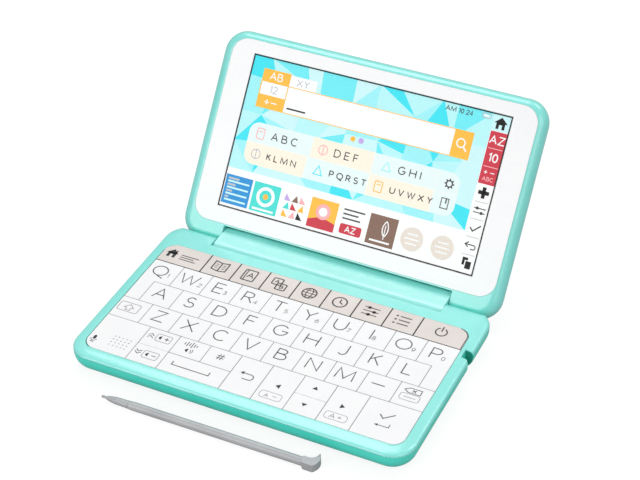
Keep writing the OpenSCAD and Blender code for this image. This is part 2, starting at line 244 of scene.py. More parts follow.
def smooth_by_angle(limit):
    """Node group that shades smooth, but keeps edges sharper than the limit."""
    group = bpy.data.node_groups.new("smooth_by_angle", "GeometryNodeTree")
    group.interface.new_socket("Geometry", in_out="INPUT", socket_type="NodeSocketGeometry")
    group.interface.new_socket("Geometry", in_out="OUTPUT", socket_type="NodeSocketGeometry")
    start = group.nodes.new("NodeGroupInput")
    end = group.nodes.new("NodeGroupOutput")
    angle = group.nodes.new("GeometryNodeInputMeshEdgeAngle")
    sharp = group.nodes.new("FunctionNodeCompare")
    sharp.inputs["B"].default_value = limit
    normals = group.nodes.new("GeometryNodeSetMeshNormal")
    normals.mode = "SHARPNESS"
    normals.inputs["Remove Custom"].default_value = True
    normals.inputs["Face Sharpness"].default_value = False
    group.links.new(angle.outputs["Unsigned Angle"], sharp.inputs["A"])
    group.links.new(sharp.outputs["Result"], normals.inputs["Edge Sharpness"])
    group.links.new(start.outputs[0], normals.inputs["Mesh"])
    group.links.new(normals.outputs["Mesh"], end.inputs[0])
    return group


SMOOTH = smooth_by_angle(SMOOTH_ANGLE)


def soften(piece, width):
    """Joins split vertices, rounds sharp edges and shades the piece smooth."""
    weld = piece.modifiers.new("weld", "WELD")
    weld.merge_threshold = WELD * MM
    if not width:
        return
    bevel = piece.modifiers.new("soft_edges", "BEVEL")
    bevel.width = width * MM
    bevel.segments = EDGE_SEGMENTS
    bevel.limit_method = "ANGLE"
    bevel.angle_limit = EDGE_ANGLE
    shade = piece.modifiers.new("shade", "NODES")
    shade.node_group = SMOOTH
    even = piece.modifiers.new("even_normals", "WEIGHTED_NORMAL")
    even.keep_sharp = True


def dress_nodes():
    """Gives every carried-over node its material, and softens its edges."""
    for name, node in NODES.items():
        paint = PAINT_OF.get(name, BEIGE_KEY if name in BEIGE_KEYS else WHITE_KEY)
        node.data.materials.clear()
        node.data.materials.append(paint)
        soften(node, SOFT_EDGE.get(name, OTHER_EDGE))


dress_nodes()

# ------------------------------ flat shapes and strokes


# Limits for the corners of a stroke: shortest length, sharpest fold, and least share for a mitre.
SHORT, FOLD, MITRE = 1e-6, 0.2, 0.5


class Sheet:
    """Gathers closed flat shapes, in mm on the deck or the lid, into one piece with several paints."""

    def __init__(self, name, place, paints, body, slot):
        self.name, self.place, self.paints, self.body, self.slot = name, place, paints, body, slot
        self.verts, self.faces, self.tones = [], [], []

    def _add(self, faces, tone):
        self.faces += faces
        self.tones += [self.paints.index(tone)] * len(faces)

    def plate(self, outline, low, high, tone):
        """A flat shape between two heights. Its outline runs round either way."""
        area = sum(a[0] * b[1] - b[0] * a[1] for a, b in zip(outline, outline[1:] + outline[:1]))
        if area < 0:
            outline = outline[::-1]
        first, n = len(self.verts), len(outline)
        self.verts += [self.place(x, y, low) for x, y in outline]
        self.verts += [self.place(x, y, high) for x, y in outline]
        under = [tuple(first + i for i in reversed(range(n)))]
        over = [tuple(first + n + i for i in range(n))]
        sides = [(first + i, first + (i + 1) % n, first + n + (i + 1) % n, first + n + i) for i in range(n)]
        self._add(under + over + sides, tone)

    def stroke(self, points, width, low, high, tone, closed=False):
        """A line of even width along the points."""
        n = len(points)
        first = len(self.verts)
        for i, (x, y) in enumerate(points):
            before = points[i - 1] if (i or closed) else points[i]
            after = points[(i + 1) % n] if (i < n - 1 or closed) else points[i]
            a = Vector((x - before[0], y - before[1]))
            b = Vector((after[0] - x, after[1] - y))
            a = a.normalized() if a.length > SHORT else b.normalized()
            b = b.normalized() if b.length > SHORT else a
            mid = (a + b).normalized() if (a + b).length > FOLD else a
            reach = width / 2 / max(mid.dot(a), MITRE)
            side = Vector((-mid.y, mid.x)) * reach
            for z in (low, high):
                self.verts.append(self.place(x + side.x, y + side.y, z))
                self.verts.append(self.place(x - side.x, y - side.y, z))
        faces = []
        for i in range(n if closed else n - 1):
            p, q = first + 4 * i, first + 4 * ((i + 1) % n)
            faces += [(p, q, q + 1, p + 1), (p + 2, p + 3, q + 3, q + 2)]
            faces += [(p, p + 2, q + 2, q), (p + 1, q + 1, q + 3, p + 3)]
        if not closed:
            p, q = first, first + 4 * (n - 1)
            faces += [(p, p + 1, p + 3, p + 2), (q, q + 2, q + 3, q + 1)]
        self._add(faces, tone)

    def build(self):
        mesh = bpy.data.meshes.new(self.name)
        mesh.from_pydata([tuple(v) for v in self.verts], [], self.faces)
        for paint in self.paints:
            mesh.materials.append(paint)
        for face, tone in zip(mesh.polygons, self.tones):
            face.material_index = tone
        shape = bmesh.new()
        shape.from_mesh(mesh)
        bmesh.ops.recalc_face_normals(shape, faces=shape.faces)
        shape.to_mesh(mesh)
        shape.free()
        piece = bpy.data.objects.new(self.name, mesh)
        bpy.context.scene.collection.objects.link(piece)
        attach(piece, self.body)
        return piece


def bow(cx, cy, rx, ry, start, stop, steps=10):
    """Points along an ellipse's arc, angles in degrees."""
    turns = [math.radians(start + (stop - start) * i / steps) for i in range(steps + 1)]
    return [(cx + rx * math.cos(t), cy + ry * math.sin(t)) for t in turns]


def disc(cx, cy, r, steps=20):
    return bow(cx, cy, r, r, 0, 360, steps)[:-1]


def rounded(x0, x1, y0, y1, r, steps=5):
    """Outline of a rectangle with rounded corners."""
    corners = ((x1 - r, y1 - r, 0), (x0 + r, y1 - r, 90), (x0 + r, y0 + r, 180), (x1 - r, y0 + r, 270))
    return [p for cx, cy, a in corners for p in bow(cx, cy, r, r, a, a + 90, steps)]


def block(x0, x1, y0, y1):
    return [(x0, y0), (x1, y0), (x1, y1), (x0, y1)]


# Single-line capitals, digits and signs. Each is a list of strokes.
GLYPHS = {
    "A": [[(0, 0), (3.7, 8), (7.4, 0)], [(1.3, 2.7), (6.1, 2.7)]],
    "B": [[(0, 0), (0, 8), (2.8, 8)] + bow(2.8, 6.2, 2.4, 1.8, 90, -90, 8) + [(0, 4.4)],
          [(0, 4.4), (3.2, 4.4)] + bow(3.2, 2.2, 2.9, 2.2, 90, -90, 8) + [(0, 0)]],
    "C": [bow(4, 4, 4, 4, 48, 312, 16)],
    "D": [[(0, 0), (0, 8), (2.6, 8)] + bow(2.6, 4, 4.4, 4, 90, -90, 12) + [(0, 0)]],
    "E": [[(5.4, 8), (0, 8), (0, 0), (5.4, 0)], [(0, 4.2), (4.9, 4.2)]],
    "F": [[(4.9, 8), (0, 8), (0, 0)], [(0, 4.2), (4.4, 4.2)]],
    "G": [bow(4, 4, 4, 4, 45, 352, 18) + [(7.9, 3.7), (4.6, 3.7)]],
    "H": [[(0, 0), (0, 8)], [(7.2, 0), (7.2, 8)], [(0, 4.2), (7.2, 4.2)]],
    "I": [[(0, 0), (0, 8)]],
    "J": [[(4.6, 8), (4.6, 2.3)] + bow(2.3, 2.3, 2.3, 2.3, 0, -140, 9)],
    "K": [[(0, 0), (0, 8)], [(5.2, 8), (0, 3.3)], [(1.8, 4.9), (5.7, 0)]],
    "L": [[(0, 8), (0, 0), (4.8, 0)]],
    "M": [[(0, 0), (0.7, 8), (4.9, 0.7), (9.1, 8), (9.8, 0)]],
    "N": [[(0, 0), (0, 8), (7, 0), (7, 8)]],
    "O": [bow(4.3, 4, 4.3, 4, 0, 360, 22)],
    "P": [[(0, 0), (0, 8), (3, 8)] + bow(3, 5.8, 2.6, 2.2, 90, -90, 9) + [(0, 3.6)]],
    "Q": [bow(4.3, 4, 4.3, 4, 0, 360, 22), [(4, 0.1), (5.6, -0.9), (8, -1.7)]],
    "R": [[(0, 0), (0, 8), (2.8, 8)] + bow(2.8, 5.9, 2.5, 2.1, 90, -90, 9) + [(0, 3.8)],
          [(2.9, 3.8), (6, 0)]],
    "S": [bow(2.7, 5.9, 2.3, 2.1, 35, 262, 12) + bow(2.6, 2.1, 2.8, 2.1, 82, -150, 12)],
    "T": [[(0, 8), (6.4, 8)], [(3.2, 8), (3.2, 0)]],
    "U": [[(0, 8), (0, 3.5)] + bow(3.5, 3.5, 3.5, 3.5, 180, 360, 12) + [(7, 8)]],
    "V": [[(0, 8), (3.7, 0), (7.4, 8)]],
    "W": [[(0, 8), (2.7, 0), (5.3, 7.2), (7.9, 0), (10.6, 8)]],
    "X": [[(0, 0), (7.2, 8)], [(0.2, 8), (7.4, 0)]],
    "Y": [[(0, 8), (3.4, 4), (6.8, 8)], [(3.4, 4), (3.4, 0)]],
    "Z": [[(0.2, 8), (6.4, 8), (0, 0), (6.8, 0)]],
    "0": [bow(2.4, 4, 2.4, 4, 0, 360, 14)],
    "1": [[(0.4, 6.4), (2.2, 8), (2.2, 0)]],
    "2": [bow(2.4, 5.7, 2.3, 2.3, 165, -35, 9) + [(0, 0), (4.9, 0)]],
    "3": [bow(2.2, 6, 2.1, 2, 150, -90, 9) + bow(2.2, 2.1, 2.5, 2.1, 90, -150, 9)],
    "4": [[(3.7, 0), (3.7, 8), (0, 2.3), (5, 2.3)]],
    "5": [[(4.4, 8), (0.8, 8), (0.4, 4.4)] + bow(2.3, 2.6, 2.5, 2.6, 125, -150, 9)],
    "6": [[(3.8, 8), (0.6, 4)] + bow(2.5, 2.6, 2.5, 2.6, 165, 510, 14)],
    "7": [[(0, 8), (4.8, 8), (1.6, 0)]],
    "8": [bow(2.4, 6, 2, 2, 0, 360, 12), bow(2.4, 2.1, 2.4, 2.1, 0, 360, 12)],
    "9": [[(1, 0), (4.2, 4)] + bow(2.5, 5.4, 2.5, 2.6, -15, 330, 14)],
    "-": [[(0, 4), (7.4, 4)]],
    "+": [[(0, 4), (6, 4)], [(3, 1), (3, 7)]],
}

# Their height, the space between them and the width of a blank, in the glyphs' own units.
TALL, SPACING, BLANK = 8, 2.4, 3.2


def extent(text):
    """Width of a line of text in the glyphs' units."""
    widths = [max(x for trace in GLYPHS[c] for x, _ in trace) for c in text if c != " "]
    gaps = sum(SPACING if c != " " else BLANK for c in text[:-1])
    return sum(widths) + gaps


def is_loop(points):
    """True for a round stroke that ends where it starts."""
    return len(points) > 12 and math.dist(points[0], points[-1]) < 0.01


def write(sheet, text, x, y, height, width, low, high, tone):
    """Writes a line of text with its left end and baseline at x, y."""
    size = height / TALL
    for c in text:
        if c == " ":
            x += BLANK * size
            continue
        for trace in GLYPHS[c]:
            shut = is_loop(trace)
            points = [(x + px * size, y + py * size) for px, py in (trace[:-1] if shut else trace)]
            sheet.stroke(points, width, low, high, tone, closed=shut)
        x += (max(px for trace in GLYPHS[c] for px, _ in trace) + SPACING) * size


# ------------------------------ keyboard markings

# Heights of the ink on the caps, and the letters' stroke and height, in mm.
FACE_LOW, FACE_HIGH = KEY_FACE - 0.03, KEY_FACE + 0.015
LETTER_W = 0.46
LETTER_H = 5.4
DIGIT_W = 0.34
DIGIT_H = 2.0


def key_mark(key, place=on_deck):
    return Sheet("mark_" + key, place, [LETTER, PALE, DARK, BLACK], key, "mat_rubber")


def line(sheet, points, width, tone, closed=False):
    sheet.stroke(points, width, FACE_LOW, FACE_HIGH, tone, closed)


def fill(sheet, outline, tone):
    sheet.plate(outline, FACE_LOW, FACE_HIGH, tone)


def letters(sheet, text, x, y, height, width, tone):
    write(sheet, text, x, y, height, width, FACE_LOW, FACE_HIGH, tone)


def mark_letter_keys():
    """The letters, with small digits beside those of the top row."""
    rows = (("QWERTYUIOP", "1234567890", 0.5, -8.15, -1.0), ("ASDFGHJKL", "", 1.0, -19.75, -0.55),
            ("ZXCVBNM-", "", 1.5, -31.3, -0.7))
    for text, digits, first, base, nudge in rows:
        for i, c in enumerate(text):
            sheet = key_mark("key_dash" if c == "-" else "key_" + c.lower())
            middle = LEFT + (first + i) * PITCH + nudge
            wide = extent(c) * LETTER_H / TALL
            letters(sheet, c, middle - wide / 2, base, LETTER_H, LETTER_W, LETTER)
            if digits:
                letters(sheet, digits[i], middle + wide / 2 + 0.8, base + 0.15, DIGIT_H, DIGIT_W, PALE)
            sheet.build()


def house(sheet, x, y, s, tone):
    """House with a roof, a chimney and an open door, centred at x, y and s wide."""
    h = s / 2
    fill(sheet, [(x - h, y - 0.02 * s), (x, y + h), (x + h, y - 0.02 * s)], tone)
    fill(sheet, block(x - 0.36 * s, x - 0.12 * s, y - h, y + 0.1 * s), tone)
    fill(sheet, block(x + 0.12 * s, x + 0.36 * s, y - h, y + 0.1 * s), tone)
    fill(sheet, block(x - 0.12 * s, x + 0.12 * s, y - 0.12 * s, y + 0.1 * s), tone)
    fill(sheet, block(x + 0.22 * s, x + 0.34 * s, y + 0.1 * s, y + 0.42 * s), tone)


def book(s, x, y):
    for side in (x - 2.9, x + 2.9):
        line(s, [(x, y + 2.1), (side, y + 2.7), (side, y - 2.1), (x, y - 2.7)], 0.5, DARK)
    line(s, [(x, y + 2.1), (x, y - 2.7)], 0.5, DARK)
    for k in (1.0, 0, -1.0):
        line(s, [(x + 0.9, y + k - 0.1), (x + 2.1, y + k + 0.15)], 0.3, DARK)
        line(s, [(x - 2.1, y + k + 0.15), (x - 0.9, y + k - 0.1)], 0.3, DARK)


def letter_book(s, x, y):
    line(s, rounded(x - 2.5, x + 2.5, y - 3, y + 3, 0.5, 3), 0.5, DARK, True)
    line(s, [(x - 1.5, y - 3), (x - 1.5, y + 3)], 0.4, DARK)
    letters(s, "A", x - 0.75, y - 1.2, 2.6, 0.42, DARK)


def two_cards(s, x, y):
    line(s, rounded(x - 3.1, x + 0.7, y - 0.6, y + 3, 0.5, 3), 0.5, DARK, True)
    line(s, rounded(x - 0.7, x + 3.1, y - 3, y + 0.6, 0.5, 3), 0.5, DARK, True)
    letters(s, "A", x - 2.1, y + 0.4, 1.7, 0.34, DARK)
    letters(s, "B", x + 0.8, y - 2.1, 1.7, 0.34, DARK)


def globe(s, x, y):
    line(s, disc(x, y, 2.8, 24), 0.5, DARK, True)
    line(s, bow(x, y, 1.2, 2.8, 0, 360, 18)[:-1], 0.36, DARK, True)
    line(s, [(x - 2.8, y), (x + 2.8, y)], 0.36, DARK)
    for k in (-1, 1):
        line(s, [(x - 2.3, y + 1.5 * k), (x + 2.3, y + 1.5 * k)], 0.36, DARK)


def clock(s, x, y):
    line(s, disc(x, y, 2.7, 24), 0.55, DARK, True)
    line(s, [(x, y + 1.8), (x, y), (x + 1.3, y - 0.8)], 0.5, DARK)


def sliders(s, x, y):
    for k, knob in ((1.9, -1.2), (0, 1.3), (-1.9, -0.3)):
        line(s, [(x - 3, y + k), (x + 3, y + k)], 0.42, DARK)
        fill(s, disc(x + knob, y + k, 0.75, 14), DARK)


def list_rows(s, x, y):
    for k in (2, 0, -2):
        fill(s, disc(x - 2.6, y + k, 0.45, 12), DARK)
        line(s, [(x - 1.4, y + k), (x + 3, y + k)], 0.5, DARK)


def unit(u):
    """X of a line between keys, counted in keys from the left."""
    return LEFT + u * PITCH


def edge_shade_lines(s, left, right):
    """Dark lines of painted shade along the front and side edges of a rear-row key, where the slits around
    it are in shadow.
    """
    inset = HALF_SLIT + 0.05
    front, rear = inset, ROWS[0] - HALF_SLIT
    line(s, [(left + inset, front), (right - inset, front)], 0.1, BLACK)
    if left > LEFT:
        line(s, [(left + inset, front), (left + inset, rear)], 0.1, BLACK)
    if right < -LEFT:
        line(s, [(right - inset, front), (right - inset, rear)], 0.1, BLACK)


def mark_function_keys():
    """A drawn sign on each key of the rear row, with dark lines of painted shade along the key edges."""
    s = key_mark("key_home")
    edge_shade_lines(s, LEFT, unit(1.5))
    house(s, -58.1, 5.8, 4.8, BLACK)
    for k, reach in ((1.1, 7.4), (-0.1, 5.6), (-1.3, 6.8)):
        line(s, [(-54.3, 5 + k), (-54.3 + reach, 5 + k)], 0.42, DARK)
    s.build()
    signs = (book, letter_book, two_cards, globe, clock, sliders, list_rows)
    for i, sign in enumerate(signs):
        s = key_mark("key_f%d" % (i + 1))
        edge_shade_lines(s, unit(i + 1.5), unit(i + 2.5))
        sign(s, unit(i + 2) - 0.4, 5.9)
        s.build()
    s = key_mark("key_power")
    edge_shade_lines(s, unit(8.5), -LEFT)
    line(s, bow(52.1, 6, 2.1, 2.1, 118, 422, 20), 0.5, DARK)
    line(s, [(52.1, 9), (52.1, 6.3)], 0.5, DARK)
    # Painted shade along the power key's right edge and rear corner, where the wall of the opening is in
    # shadow.
    corner = [(61.7, 0.35), (61.7, 6.46)] + bow(57.5, 6.46, 4.2, 4.2, 5, 85, 8)
    line(s, corner, 0.32, BLACK)
    s.build()


def speaker_sign(s, x, y, k, tone):
    left, low, high = x - 0.9 * k, 0.35 * k, 0.95 * k
    fill(s, [(left, y - low), (left, y + low), (x, y + high), (x, y - high)], tone)


def shift_sign(s):
    """An arrow that points up, in a small frame."""
    line(s, rounded(-61.0, -52.8, -31.2, -26.4, 0.8, 3), 0.3, PALE, True)
    arrow = [(-56.9, -27.2), (-54.9, -29), (-56, -29), (-56, -30.4)]
    arrow += [(-57.8, -30.4), (-57.8, -29), (-58.9, -29)]
    line(s, arrow, 0.34, PALE, True)


def delete_sign(s):
    """A tag with a cross, over a small frame with a dash."""
    x, y = 55.2, -26.7
    tag = [(x - 3.1, y), (x - 1.5, y + 1.2), (x + 3, y + 1.2), (x + 3, y - 1.2), (x - 1.5, y - 1.2)]
    line(s, tag, 0.34, LETTER, True)
    line(s, [(x - 0.2, y - 0.6), (x + 1.2, y + 0.6)], 0.34, LETTER)
    line(s, [(x - 0.2, y + 0.6), (x + 1.2, y - 0.6)], 0.34, LETTER)
    line(s, rounded(x - 3.6, x + 3.6, y - 5.1, y - 1.8, 0.9, 4), 0.26, PALE, True)
    line(s, [(x - 2.2, y - 3.5), (x + 2.2, y - 3.5)], 0.3, PALE)


def page_sign(s):
    """Double arrows, with louder framed above and softer framed below."""
    for y, way in ((-38.8, 1), (-48.5, -1)):
        for k in (0.5, -0.7):
            low, high = y + way * (k - 0.6), y + way * (k + 0.4)
            line(s, [(-42.9, low), (-41.7, high), (-40.5, low)], 0.32, LETTER)
        line(s, rounded(-39.6, -33.7, y - 1.9, y + 1.8, 0.6, 3), 0.28, PALE, True)
        speaker_sign(s, -37.6, y, 1.1, BLACK)
        line(s, [(-36.3, y), (-34.5, y)], 0.34, LETTER)
        if way > 0:
            line(s, [(-35.4, y - 0.9), (-35.4, y + 0.9)], 0.34, LETTER)


def voice_sign(s):
    """A sound wave over a speaker."""
    for i, tall in enumerate((0.6, 1.2, 0.8, 1.5, 0.9, 0.5)):
        x = -28.4 + 0.95 * i
        line(s, [(x, -37.6 - tall), (x, -37.6 + tall)], 0.36, LETTER)
    speaker_sign(s, -25.9, -40.7, 1.1, BLACK)
    line(s, bow(-25.6, -40.7, 0.9, 0.9, -50, 50, 6), 0.26, LETTER)
    line(s, bow(-25.6, -40.7, 1.6, 1.6, -45, 45, 6), 0.26, LETTER)


def symbol_sign(s):
    """Two upright and two level strokes, crossed."""
    x, y = -13.6, -38.9
    for k in (-0.55, 0.55):
        line(s, [(x + k - 0.3, y - 1.5), (x + k + 0.3, y + 1.5)], 0.32, LETTER)
        line(s, [(x - 1.5, y + k), (x + 1.5, y + k)], 0.32, LETTER)


def space_sign(s):
    line(s, [(-27.6, -47.6), (-27.6, -49.4), (-13, -49.4), (-13, -47.6)], 0.4, LETTER)


def back_sign(s):
    """An arrow that turns back to the left."""
    x, y = -0.4, -43.6
    tail = [(x - 2.3, y + 0.9), (x + 1, y + 0.9)]
    tail += bow(x + 1, y - 0.5, 1.4, 1.4, 90, -90, 8) + [(x - 1.4, y - 1.9)]
    line(s, tail, 0.4, LETTER)
    fill(s, [(x - 3.2, y + 0.9), (x - 1.8, y + 1.8), (x - 1.8, y)], LETTER)


SIGNS = (("key_shift", shift_sign), ("key_delete", delete_sign), ("key_page", page_sign),
         ("key_voice", voice_sign), ("key_symbol", symbol_sign), ("key_space", space_sign),
         ("key_back", back_sign))


def mark_other_keys():
    for key, sign in SIGNS:
        s = key_mark(key)
        sign(s)
        s.build()


# The cursor keys' arrows, and the small frames below two of them: middle, letter's height and sign.
CURSOR_ARROWS = {
    "key_left": [[(10.7, -43.85), (12.4, -45.0), (12.4, -42.7)]],
    "key_right": [[(37.2, -43.85), (35.5, -42.7), (35.5, -45.0)]],
    "key_updown": [[(24, -38.5), (22.9, -40.1), (25.1, -40.1)],
                   [(23.8, -49.3), (24.9, -47.8), (22.7, -47.8)]],
}
TYPE_SIZES = {"key_left": (11.4, 1.5, "-"), "key_right": (36.2, 2.0, "+")}


def mark_cursor_keys():
    """Arrows, with a framed letter and a minus or a plus on the left and right keys."""
    for key, arrows in CURSOR_ARROWS.items():
        s = key_mark(key)
        for arrow in arrows:
            fill(s, arrow, BLACK)
        if key in TYPE_SIZES:
            x, height, sign = TYPE_SIZES[key]
            line(s, rounded(x - 4.1, x + 4.1, -51.0, -47.6, 1.1, 4), 0.24, PALE, True)
            letters(s, "A", x - 2.2, -50.3, height, 0.3, PALE)
            letters(s, sign, x + 0.8, -50.1, 1.7, 0.3, PALE)
        s.build()


def mark_enter():
    """A tick over an arrow that turns back to the left."""
    s = key_mark("key_enter")
    line(s, [(49.4, -41.7), (51.1, -43.3), (54.5, -40.2)], 0.44, LETTER)
    line(s, [(54.6, -45.1), (54.6, -46.8), (50.4, -46.8)], 0.32, LETTER)
    fill(s, [(49.3, -46.8), (50.6, -46.2), (50.6, -47.4)], LETTER)
    s.build()


def mark_panel():
    """The microphone sign beside the speaker holes."""
    s = Sheet("mark_speaker_panel", on_deck, [BLACK, LETTER], "base", "mat_rubber")
    x, y = -59.7, -48.3
    fill(s, rounded(x - 0.55, x + 0.55, y - 0.9, y + 1.3, 0.54, 4), BLACK)
    line(s, bow(x, y - 0.5, 1.15, 1.15, 180, 360, 8), 0.28, LETTER)
    line(s, [(x, y - 1.65), (x, y - 2.3)], 0.28, LETTER)
    line(s, [(x - 0.8, y - 2.3), (x + 0.8, y - 2.3)], 0.28, LETTER)
    s.build()


# ------------------------------ slits, seams and holes

# Width and heights of the shaded strips in mm. Beside a rocker the strip is narrow and set back.
SLIT_W, DARK_SLIT_W, ROCKER_SLIT_W = 0.26, 0.28, 0.16
SLIT_LOW, SLIT_HIGH = -0.9, 0.09
ROCKER_SHIFT = 0.045
OPENING_R = 4.6


def fill_slits():
    """Shaded strips low in the slits between the caps."""
    s = Sheet("key_slits", on_deck, [SLIT, SLIT_DARK], "base", "mat_rubber")
    right = -LEFT

    def run(x0, y0, x1, y1, tone=SLIT, width=SLIT_W):
        s.stroke([(x0, y0), (x1, y1)], width, SLIT_LOW, SLIT_HIGH, tone)

    for i in range(8):
        x = unit(i + 1.5)
        run(x, ROWS[0] - HALF_SLIT, x, ROWS[1] + HALF_SLIT, SLIT_DARK, DARK_SLIT_W)
    run(LEFT + HALF_SLIT, ROWS[1], right - HALF_SLIT, ROWS[1], SLIT_DARK, DARK_SLIT_W)
    for u in range(1, 10):
        run(unit(u), ROWS[1] - HALF_SLIT, unit(u), ROWS[2] + HALF_SLIT)
        run(unit(u), ROWS[3] - HALF_SLIT, unit(u), ROWS[4] + HALF_SLIT)
        run(unit(u + 0.5), ROWS[2] - HALF_SLIT, unit(u + 0.5), ROWS[3] + HALF_SLIT)
    run(unit(0.5), ROWS[2], unit(0.5), ROWS[3] + HALF_SLIT)
    run(unit(0.5), ROWS[2], unit(9.5), ROWS[2])
    run(LEFT + HALF_SLIT, ROWS[3], right - HALF_SLIT, ROWS[3])
    for u0, u1 in ((0.01, 1.45), (2.45, 6.45), (7.45, 9.99)):
        run(unit(u0), ROWS[4], unit(u1), ROWS[4])
    for u in (1.45, 6.45):
        run(unit(u), ROWS[4] + ROCKER_SHIFT, unit(u + 1), ROWS[4] + ROCKER_SHIFT, SLIT, ROCKER_SLIT_W)
    for u in (1.45, 2.45, 4.45, 5.45, 6.45, 7.45, 8.45):
        run(unit(u), ROWS[4] - HALF_SLIT, unit(u), ROWS[5] + HALF_SLIT)
    run(unit(3.45), ROWS[4] - HALF_SLIT, unit(3.45), LAST_MID + HALF_SLIT)
    run(unit(2.45) + HALF_SLIT, LAST_MID, unit(4.45) - HALF_SLIT, LAST_MID)
    s.build()


def draw_opening_rim():
    """Shadow line round the opening: dark on the left, pale at the rear and on the right."""
    s = Sheet("opening_rim", on_deck, [RIM, RIM_PALE], "base", "mint_shell_dark")
    low, high = -0.4, 0.03
    rear, front, side = ROWS[0], ROWS[5], -LEFT
    dark = [(-side, rear - OPENING_R), (-side, front + OPENING_R)]
    dark += bow(-side + OPENING_R, front + OPENING_R, OPENING_R, OPENING_R, 186, 246, 8)
    s.stroke(dark, 0.42, low, high, RIM)
    pale = bow(-side + OPENING_R, rear - OPENING_R, OPENING_R, OPENING_R, 180, 90, 8)
    pale += bow(side - OPENING_R, rear - OPENING_R, OPENING_R, OPENING_R, 90, 0, 8)
    pale += [(side, front + OPENING_R)]
    s.stroke(pale, 0.2, low, high - 0.01, RIM_PALE)
    s.build()


SEAM_W = 0.4
SEAM_R = 9.0
SEAM_END = 48.2


def draw_base_seam():
    """Shadow in the base's parting groove, which the hinge and the stylus notch interrupt."""
    half, rear, front, r = 66.5, 24.05, -58.6, SEAM_R
    step, low, high = 0.22, -1.53, -1.27
    s = Sheet("base_seam", on_deck, [SEAM], "base", "mint_shell_dark")
    corner = bow(half - r, rear - r, r - step, r - step, 56, 0, 6)
    short = [(SEAM_END, 22.45), (61.9, 22.45)] + corner + [(half - step, 1.5)]
    s.stroke(short, SEAM_W, low, high, SEAM)
    loop = [(half - step, -7.0)] + bow(half - r, front + r, r - step, r - step, 0, -90, 10)
    loop += bow(r - half, front + r, r - step, r - step, -90, -180, 10)
    loop += bow(r - half, rear - r, r - step, r - step, 180, 124, 6)
    loop += [(-61.9, 22.45), (-SEAM_END, 22.45)]
    s.stroke(loop, SEAM_W, low, high, SEAM)
    s.build()


def draw_lid_seam():
    """Shadow in the lid's parting groove, which the hinge interrupts."""
    half, low_y, top_y, r, inset = 66.1, -3.9, 79.1, SEAM_R, 0.88
    low, high = 1.78, 2.02
    s = Sheet("lid_seam", on_lid, [SEAM], "lid", "mint_shell_dark")
    loop = [(SEAM_END, low_y + inset)] + bow(half - r, low_y + r, r - inset, r - inset, -90, 0, 10)
    loop += bow(half - r, top_y - r, r - inset, r - inset, 0, 90, 10)
    loop += bow(r - half, top_y - r, r - inset, r - inset, 90, 180, 10)
    loop += bow(r - half, low_y + r, r - inset, r - inset, 180, 270, 10)
    loop += [(-SEAM_END, low_y + inset)]
    s.stroke(loop, SEAM_W, low, high, SEAM)
    s.build()


def fill_speaker_holes():
    """Grey gauze a little way down the speaker holes."""
    s = Sheet("speaker_gauze", on_deck, [MESH], "base", "mat_rubber")
    s.plate(block(-54.0, -46.0, -50.2, -43.8), -0.55, -0.35, MESH)
    s.build()


NOTCH_REAR = 1.2


def shade_notch():
    """Shaded rear wall of the notch that takes the head of the stylus."""

    def on_wall(x, z, out):
        return on_deck(x, NOTCH_REAR - out, z)

    s = Sheet("notch_shade", on_wall, [NOTCH], "base", "mint_shell_dark")
    outline = [(63.45, -0.45), (65.0, -0.65), (65.8, -1.1), (66.2, -1.9), (66.2, -3.4), (65.9, -4.6),
               (65.2, -6.0), (63.9, -7.6), (63.45, -7.6)]
    s.plate(outline, -0.2, 0.03, NOTCH)
    s.build()


mark_letter_keys()
mark_function_keys()
mark_other_keys()
mark_cursor_keys()
mark_enter()
mark_panel()
fill_slits()
draw_opening_rim()
draw_base_seam()
draw_lid_seam()
fill_speaker_holes()
shade_notch()


# ------------------------------ display


def lit(name, rgb):
    """A patch of the lit display: a faint pixel texture that glows in its own colour."""
    p = Paint(name)
    low = tuple(c * (1 - PIXEL_SPREAD) for c in rgb)
    tone = p.ramp(p.noise(PIXELS, 2), 0.35, 0.65, [srgb(*rgb), srgb(*low)])
    p.colour(tone)
    p.link(tone, p.shader.inputs["Emission Color"])
    p.set(Emission_Strength=GLOW, Specular_IOR_Level=0.2, Coat_Weight=0.05, Coat_Roughness=0.1)
    p.roughness(0.3, 0.4, 1500)
    return p.mat


GLOW = 0.14
SKY = [lit("sky_%d" % i, rgb) for i, rgb in enumerate(
    ((204, 247, 250), (158, 242, 248), (112, 236, 245), (62, 228, 243), (184, 246, 249)))]
PAGE = lit("page_white", (251, 252, 252))
MILK = lit("page_milk", (232, 249, 248))
CREAM = lit("page_cream", (255, 244, 226))
ORANGE = lit("page_orange", (255, 190, 68))
RED = lit("page_red", (206, 58, 74))
BLUE = lit("page_blue", (44, 146, 214))
TEAL = lit("page_teal", (72, 222, 212))
PINK = lit("page_pink", (250, 178, 182))
LILAC = lit("page_lilac", (196, 168, 232))
BROWN = lit("page_brown", (134, 104, 90))
SAND = lit("page_sand", (232, 221, 210))
MIST = lit("page_mist", (186, 194, 200))
TYPE = lit("page_type", (72, 72, 76))
NIGHT = lit("page_black", (14, 14, 16))
PAGE_PAINTS = SKY + [PAGE, MILK, CREAM, ORANGE, RED, BLUE, TEAL, PINK, LILAC, BROWN, SAND, MIST]
PAGE_PAINTS += [TYPE, NIGHT]

# The lit area in mm: X as on the lid, and height above the glass's foot line. COLUMN is where the
# column of touch keys starts, and STRIP_TOP is the top of the row of pictures.
SCREEN_FOOT = 4.7
GLASS_LEFT, GLASS_RIGHT, GLASS_LOW, GLASS_TOP = -52.2, 53.4, 6.4, 66.4
COLUMN = 46.3
STRIP_TOP = 21.9

# Thickness of one layer of the picture in mm, and how far all of them reach into the glass.
LAYER = 0.012
PAGE_FOOT = -0.01


def on_screen(x, y, z=0.0):
    return on_lid(x, y + SCREEN_FOOT, GLASS + z)


